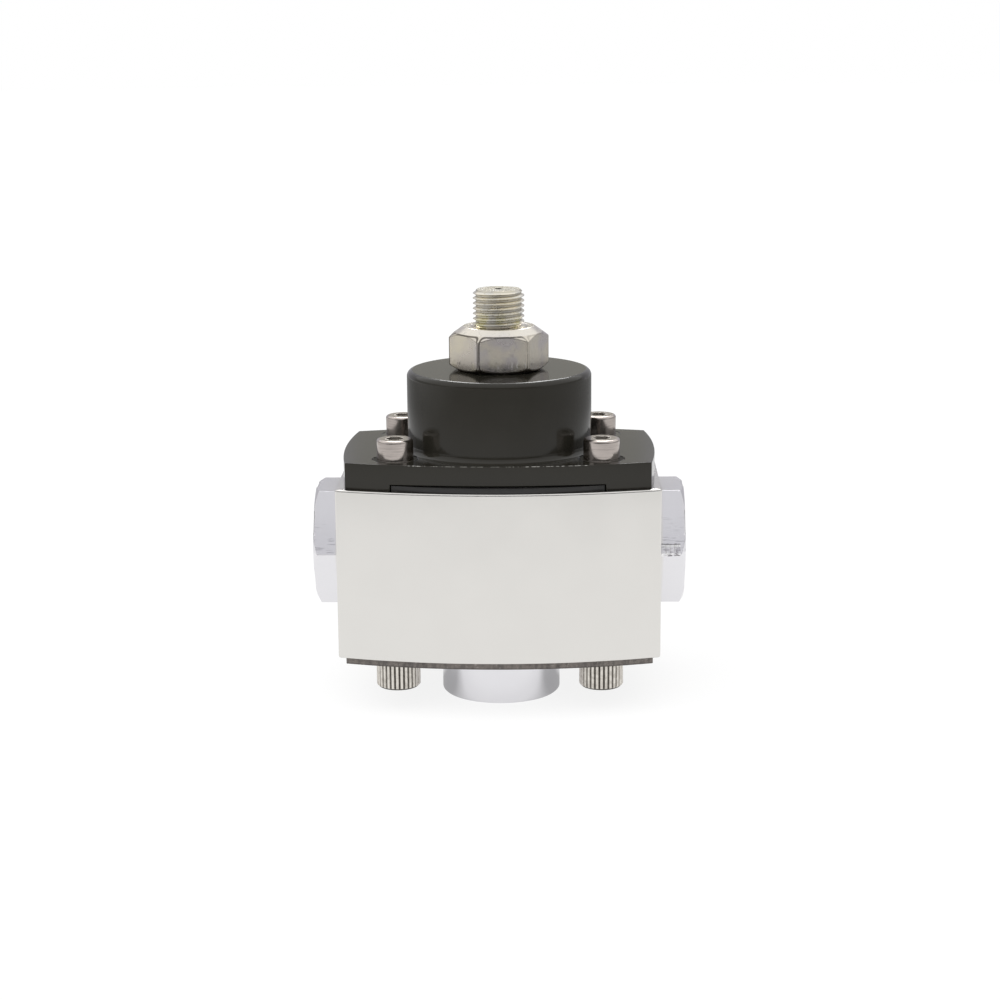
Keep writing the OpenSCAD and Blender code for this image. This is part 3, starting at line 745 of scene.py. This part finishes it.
class REGULATOR_OT_casting(Operator):
    """Finishes the die-cast body and adds the flash left along its parting line"""

    bl_idname = "regulator.casting"
    bl_label = "Die-cast body"

    def execute(self, context):
        dress(chromed_casting(), "body")
        edges = settings().edges
        body = frame["nodes"]["body"]
        round_edges(body, edges.casting, sharp=70, segments=4, blunt_radius=edges.ports)
        self.add_flash(settings().sizes)
        return {"FINISHED"}

    def add_flash(self, sizes):
        """Trimmed flash along the outlet port's front corner, a thin lip over both of its facets."""
        steps = 16
        sunk = 0.3 * MM
        short_by = 0.75 * MM
        rough_y = 0.02 * MM
        rough_z = 0.1 * MM
        top, bend, foot = 2.1, 0.1, -0.4
        thin, thick = -0.07, -0.1
        root, core = 0.05, 0.4
        inside = BODY_HIGH.x - sizes.port_reach - sunk
        run = sizes.port_reach - short_by
        corner_y = -sizes.port_flats / 2 / math.cos(SIXTH / 2)
        upper = Matrix.Rotation(-SIXTH / 2, 3, "X")
        lower = Matrix.Rotation(SIXTH / 2, 3, "X")
        section = (
            upper @ Vector((0, root, top)), upper @ Vector((0, thin, top)), upper @ Vector((0, thick, bend)),
            lower @ Vector((0, thick, foot)), lower @ Vector((0, root, foot)), Vector((0, core, 0)))
        start = Vector((inside, corner_y, PORT_HEIGHT))
        mesh = bmesh.new()
        tip = mesh.faces.new([mesh.verts.new(start + spot * MM) for spot in section])
        for _ in range(steps):
            grown = bmesh.ops.extrude_face_region(mesh, geom=[tip])["geom"]
            tip = next(item for item in grown if isinstance(item, bmesh.types.BMFace))
            bmesh.ops.translate(mesh, vec=(run / steps, 0, 0), verts=tip.verts[:])
        draw = random.Random(4)
        for corner in mesh.verts:
            corner.co.y += draw.uniform(-rough_y, rough_y)
            corner.co.z += draw.uniform(-rough_z, rough_z)
        bmesh.ops.recalc_face_normals(mesh, faces=mesh.faces[:])
        new_piece(mesh, "parting_flash", "housing", trimmed_flash(), smooth=False)


class REGULATOR_OT_cover(Operator):
    """Finishes the black spring cover and the rubber that shows under it"""

    bl_idname = "regulator.cover"
    bl_label = "Cover and diaphragm"

    def execute(self, context):
        edges = settings().edges
        dress(black_cover(), "cover")
        round_edges(frame["nodes"]["cover"], edges.cover)
        dress(rubber(), "diaphragm", "return_seal", "valve_disc")
        round_edges(frame["nodes"]["diaphragm"], edges.rubber, sharp=50)
        return {"FINISHED"}


class REGULATOR_OT_adjuster(Operator):
    """Builds the threaded adjusting screw and its jam nut"""

    bl_idname = "regulator.adjuster"
    bl_label = "Adjusting screw and nut"

    def execute(self, context):
        zinc = yellowed_zinc()
        dress(zinc, "adjusting_screw")
        mesh = threaded_screw(SCREW_LOW.z, SCREW_HIGH.z, SCREW_HIGH.x, settings().threads)
        screw = new_piece(mesh, "threaded_screw", "adjuster", zinc)
        split_sharp(screw, 40)
        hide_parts("adjusting_screw")
        nut_zinc = zinc_nut()
        dress(nut_zinc, "jam_nut")
        sizes = settings().sizes
        mesh = chamfered_nut(NUT_LOW.z, SCREW_HIGH.x + sizes.nut_gap, sizes)
        nut = new_piece(mesh, "chamfered_nut", "lock", nut_zinc)
        round_edges(nut, settings().edges.nut, sharp=20)
        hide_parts("jam_nut")
        return {"FINISHED"}


class REGULATOR_OT_fasteners(Operator):
    """Finishes the cover screws and the knurled base screws"""

    bl_idname = "regulator.fasteners"
    bl_label = "Screws"

    def execute(self, context):
        dress(bright_screw(), "cover_screws")
        dress(knurled_screw(), "base_screws")
        return {"FINISHED"}


class REGULATOR_OT_base(Operator):
    """Finishes the base plate and the return boss"""

    bl_idname = "regulator.base"
    bl_label = "Base plate and boss"

    def execute(self, context):
        edges = settings().edges
        dress(plate_steel(), "base_plate")
        round_edges(frame["nodes"]["base_plate"], edges.plate)
        dress(chromed_boss(), "return_port")
        round_edges(frame["nodes"]["return_port"], edges.boss)
        return {"FINISHED"}


class REGULATOR_OT_port_threads(Operator):
    """Adds the pipe threads inside the three ports"""

    bl_idname = "regulator.port_threads"
    bl_label = "Port threads"

    def execute(self, context):
        sizes = settings().threads
        steel = turned_metal("port_thread", settings().colours.steel, tone(120, 118, 114), 0.25)
        for name in ("inlet_port", "outlet_port", "return_port"):
            mount = MOUNTS[name]
            run = mount["dims"]["length_mm"] * MM
            axis = Vector(mount["axis"])
            inner = Vector(mount["pos_m"]) - axis * (run / 2 - sizes.port_pitch)
            mesh = thread_ridge(mount["dims"]["r_mm"] * MM, run - 2 * sizes.port_pitch, sizes)
            turn = Vector((0, 0, 1)).rotation_difference(axis).to_matrix().to_4x4()
            bmesh.ops.transform(mesh, matrix=Matrix.Translation(inner) @ turn, verts=mesh.verts[:])
            ridge = new_piece(mesh, name + "_thread", "housing", steel)
            split_sharp(ridge, 30)
        return {"FINISHED"}


class REGULATOR_OT_inner_pieces(Operator):
    """Finishes the valve and the diaphragm's cups, and splits the spring in two at half height"""

    bl_idname = "regulator.inner_pieces"
    bl_label = "Pieces inside"

    def execute(self, context):
        colours = settings().colours
        brass = turned_metal("brass", colours.brass, tone(150, 116, 60), 0.2)
        dress(brass, "valve_seat", "valve_poppet")
        steel = turned_metal("plain_steel", colours.steel, tone(110, 108, 104), 0.25)
        dress(steel, "diaphragm_stem", "lower_diaphragm_cup", "upper_diaphragm_cup", "stem_nut",
              "spring_button", "thrust_ball")
        wire = turned_metal("spring_steel", colours.spring, tone(58, 56, 54), 0.3)
        dress(wire, "main_spring")
        low, high = (corner.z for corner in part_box("main_spring"))
        self.add_coils("lower_coils", "valve_stack", low, high, wire)
        self.add_coils("upper_coils", "spring_top", high, low, wire)
        return {"FINISHED"}

    def add_coils(self, name, body, near, far, wire):
        """Half of the spring, from its near end to its cut at half height. The body is not used."""
        middle = (near + far) / 2
        mesh = bmesh.new()
        mesh.from_mesh(frame["nodes"]["main_spring"].data)
        bmesh.ops.remove_doubles(mesh, verts=mesh.verts[:], dist=WELD)
        slice_at(mesh, middle, facing=math.copysign(1, far - near), clear=True)
        bmesh.ops.holes_fill(mesh, edges=[edge for edge in mesh.edges if edge.is_boundary])
        coils = made_object(mesh, name, wire, smooth=True)
        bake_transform(coils)
        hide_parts("main_spring")


class REGULATOR_OT_stage(Operator):
    """Sets the pale floor, the soft light, the reflector cards and the camera"""

    bl_idname = "regulator.stage"
    bl_label = "Stage"

    def execute(self, context):
        stage = settings().stage
        context.scene.view_settings.view_transform = "Standard"
        self.add_floor(stage)
        self.add_sky(stage)
        self.add_sun(stage)
        self.add_cards()
        self.add_camera(context.scene, stage)
        return {"FINISHED"}

    def add_floor(self, stage):
        """White floor. Mirrored rays see a painted pool of light on it, with painted shade under the body
        and far to the front.
        """
        floor_r = 4
        drop = 0.02 * MM
        pool_start, pool_end = 260, 340
        left_end, left_start = -400, -320
        right_start, right_end = 200, 380
        under_x, under_y, under_fade = 28, 5, 8
        paper_grey, camera_loss, mirror_share = 0.8, 0.6, 0.2
        camera_glow = 0.85
        mesh = bmesh.new()
        bmesh.ops.create_circle(mesh, cap_ends=True, segments=96, radius=floor_r)
        bmesh.ops.translate(mesh, vec=(0, 0, -drop), verts=mesh.verts[:])
        paint = Finish("floor")
        camera, mirror = paint.rays()
        x, y, _ = paint.axes()
        # Painted light: far off, the floor stays brighter on the left and dimmer on the right.
        right = paint.rise(x, right_start, right_end)
        side = 0.26 + 0.74 * paint.rise(x, left_end, left_start) - 0.28 * right
        far = paint.rise((x * x + y * y) ** 0.5, pool_start, pool_end) * side
        pool = 1 - far * stage.pool_fall
        # Painted shadow: the floor under the body is dimmed for mirrored rays.
        past_x = paint.rise(abs(x), under_x, under_x + under_fade)
        past_y = paint.rise(abs(y), under_y, under_y + under_fade)
        under = (1 - past_x) * (1 - past_y)
        own_light = mirror * pool * (1 - 0.5 * under) * stage.pool
        grey = paper_grey - camera_loss * camera - mirror * (paper_grey - mirror_share * pool)
        paper = paint.node("BsdfDiffuse", None, {"Color": grey})
        strength = camera * camera_glow + own_light
        glow = paint.node("Emission", None, {"Color": (1, 1, 1), "Strength": strength})
        both = paint.node("AddShader", None, {0: paper, 1: glow})
        made_object(mesh, "floor", paint.show(both))

    def add_sky(self, stage):
        """Even light from all round, pure white to the camera and to mirrored rays."""
        world = bpy.data.worlds.new("studio")
        bpy.context.scene.world = world
        world.use_nodes = True
        sky = Shader(world.node_tree)
        camera, mirror = sky.rays()
        white = sky.math("MAXIMUM", camera, mirror)
        background = sky.tree.nodes["Background"]
        sky.put(background.inputs["Color"], (1, 1, 1))
        sky.put(background.inputs["Strength"], stage.sky + white * (1 - stage.sky))

    def add_sun(self, stage):
        """Wide soft light from above, which leans to the front and to one side."""
        lean_front, lean_side = math.radians(32), math.radians(-16)
        light = bpy.data.lights.new("overhead", "SUN")
        light.energy = stage.sun
        light.angle = stage.sun_width
        sun = bpy.data.objects.new("overhead", light)
        sun.rotation_euler = (lean_front, lean_side, 0)
        sun.visible_glossy = False
        bpy.context.scene.collection.objects.link(sun)

    def add_cards(self):
        """Cards that only mirrored rays meet.

        Each has its azimuth from the front, elevation, distance, size, and shades near and far from the
        line that the regulator's left part mirrors.
        """
        middle_x, near_half, far_half = -18, 78, 96
        lamp = (7.5, 7.5, 7.5)
        dark = (0.08, 0.08, 0.08)
        pale = (0.74, 0.74, 0.76)
        grey = (0.4, 0.4, 0.4)
        cards = (
            ("rear_card", 180, 13, 0.8, (2.4, 0.5), (0.43, 0.42, 0.385), (0.515, 0.51, 0.54)),
            ("softbox", 180, 43, 0.8, (0.3, 0.42), lamp, lamp),
            ("front_card", 0, 18, 0.6, (1.6, 0.32), dark, dark),
            ("upper_card", 0, 48, 0.8, (2.0, 0.31), pale, pale),
            ("left_card", -90, 11, 0.6, (0.9, 0.22), grey, grey),
            ("right_card", 90, 11, 0.6, (0.9, 0.22), grey, grey),
        )
        middle = Vector((0, 0, settings().stage.target))
        for name, azimuth, elevation, distance, size, shade, far_shade in cards:
            mesh = bmesh.new()
            bmesh.ops.create_grid(mesh, x_segments=1, y_segments=1, size=0.5)
            bmesh.ops.scale(mesh, vec=(*size, 1), verts=mesh.verts[:])
            way = self.direction(math.radians(azimuth), math.radians(elevation))
            stand = way.to_track_quat("Z", "Y").to_matrix().to_4x4()
            bmesh.ops.transform(mesh, matrix=Matrix.Translation(middle + way * distance) @ stand,
                                verts=mesh.verts[:])
            paint = Finish(name)
            from_middle = abs(paint.axes()[0] - middle_x)
            both = paint.mix(paint.rise(from_middle, near_half, far_half), shade, far_shade)
            card = made_object(mesh, name, paint.show(paint.node("Emission", None, {"Color": both})))
            card.visible_camera = False
            card.visible_diffuse = False
            card.visible_shadow = False

    def direction(self, azimuth, elevation):
        """Unit vector at an azimuth from the front towards +X, and at an elevation."""
        flat = math.cos(elevation)
        return Vector((math.sin(azimuth) * flat, -math.cos(azimuth) * flat, math.sin(elevation)))

    def add_camera(self, scene, stage):
        """Camera that stands and leans as the photo's did."""
        data = bpy.data.cameras.new("camera")
        data.lens = stage.lens
        data.sensor_width = 36
        data.shift_y = stage.shift
        data.clip_start = 10 * MM
        camera = bpy.data.objects.new("camera", data)
        back = self.direction(stage.azimuth, stage.elevation)
        right = Vector((0, 0, 1)).cross(back).normalized()
        up = back.cross(right)
        lean = Matrix.Rotation(stage.roll, 3, back)
        axes = Matrix((lean @ right, lean @ up, back)).transposed().to_4x4()
        place = Vector((0, 0, stage.target)) + back * stage.distance
        camera.matrix_world = Matrix.Translation(place) @ axes
        scene.collection.objects.link(camera)
        scene.camera = camera


class REGULATOR_PT_panel(Panel):
    """Lists the steps that build the regulator"""

    bl_idname = "REGULATOR_PT_panel"
    bl_label = "Fuel Pressure Regulator"
    bl_space_type = "VIEW_3D"
    bl_region_type = "UI"
    bl_category = "Regulator"

    def draw(self, context):
        for operator in STEPS:
            self.layout.operator(operator.bl_idname)


STEPS = (REGULATOR_OT_stage, REGULATOR_OT_casting, REGULATOR_OT_cover, REGULATOR_OT_adjuster,
         REGULATOR_OT_fasteners, REGULATOR_OT_base, REGULATOR_OT_port_threads, REGULATOR_OT_inner_pieces)
GROUPS = (SolidSizes, ThreadSizes, EdgeSizes, FinishColours, StageSettings, RegulatorSettings)
CLASSES = GROUPS + STEPS + (REGULATOR_PT_panel,)


def register():
    for item in CLASSES:
        bpy.utils.register_class(item)
    bpy.types.Scene.regulator = PointerProperty(type=RegulatorSettings)


def unregister():
    del bpy.types.Scene.regulator
    for item in reversed(CLASSES):
        bpy.utils.unregister_class(item)


def main():
    register()
    bpy.ops.regulator.stage()
    bpy.ops.regulator.casting()
    bpy.ops.regulator.cover()
    bpy.ops.regulator.adjuster()
    bpy.ops.regulator.fasteners()
    bpy.ops.regulator.base()
    bpy.ops.regulator.port_threads()
    bpy.ops.regulator.inner_pieces()


if __name__ == "__main__":
    main()
